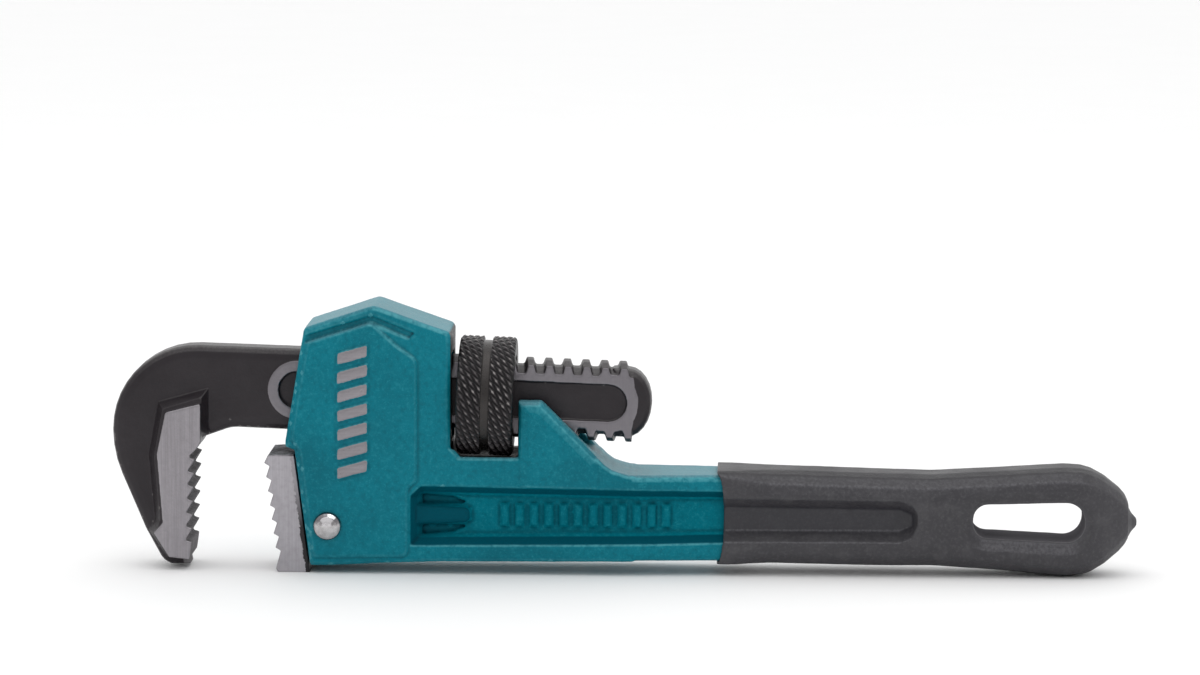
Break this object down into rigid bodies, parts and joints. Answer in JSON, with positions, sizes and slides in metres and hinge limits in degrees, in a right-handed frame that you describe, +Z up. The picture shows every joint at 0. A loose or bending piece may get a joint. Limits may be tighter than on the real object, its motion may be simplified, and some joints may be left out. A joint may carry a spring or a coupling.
{
  "type": "pipe wrench",
  "caption": "Straight pipe wrench: cast frame with a vinyl-dipped grip, sliding toothed hook jaw, knurled adjusting nut, pinned heel jaw and a sprung rocking jaw.",
  "frame": {"origin": "centre of the tool's length and depth, on the surface that it stands on", "axes": "+X along the tool from the hook jaw to the end of the grip, +Y across its thickness to the back, +Z up from the surface it stands on to the crown of the head"},
  "size_m": [0.2008, 0.0234, 0.0527],
  "materials": {
    "frame_paint": "fine textured teal enamel over a ductile iron casting",
    "grip_vinyl": "satin dipped vinyl, charcoal",
    "black_forging": "black oxide on forged steel, with ground lands",
    "ground_steel": "ground, brushed from top to bottom",
    "pin_steel": "polished domed heads",
    "nut_black": "black oxide, diamond knurled",
    "spring_steel": "oiled spring steel"
  },
  "bodies": {
    "frame": {"handle_frame": "frame_paint", "grip_sleeve": "grip_vinyl", "heel_jaw": "ground_steel", "heel_jaw_pin": "pin_steel", "coil_spring": "spring_steel"},
    "rocker": {"flat_spring": "spring_steel", "spring_rivet": "spring_steel"},
    "nut": {"adjusting_nut": "nut_black"},
    "hook": {"hook_jaw": "black_forging"}
  },
  "joints": [
    {"name": "jaw_rock", "type": "hinge", "parent": "frame", "child": "rocker", "pos_m": [-0.02705, 0, 0.03425], "axis": [0, -1, 0], "range_deg": [0, 2.75], "stiffness_Nm_per_rad": 0.25, "springref_deg": -28.65, "deforming": ["coil_spring"]},
    {"name": "nut_spin", "type": "hinge", "parent": "rocker", "child": "nut", "pos_m": [-0.02705, 0, 0.03425], "axis": [0.9994, 0, -0.0337], "range_deg": [-1232.88, 1479.46]},
    {"name": "jaw_slide", "type": "slide", "parent": "rocker", "child": "hook", "axis": [-0.9994, 0, 0.0337], "range_m": [-0.0125, 0.015]}
  ],
  "couplings": [
    {"joint": "nut_spin", "follows": "jaw_slide", "rad_per_m": 1721.4}
  ]
}
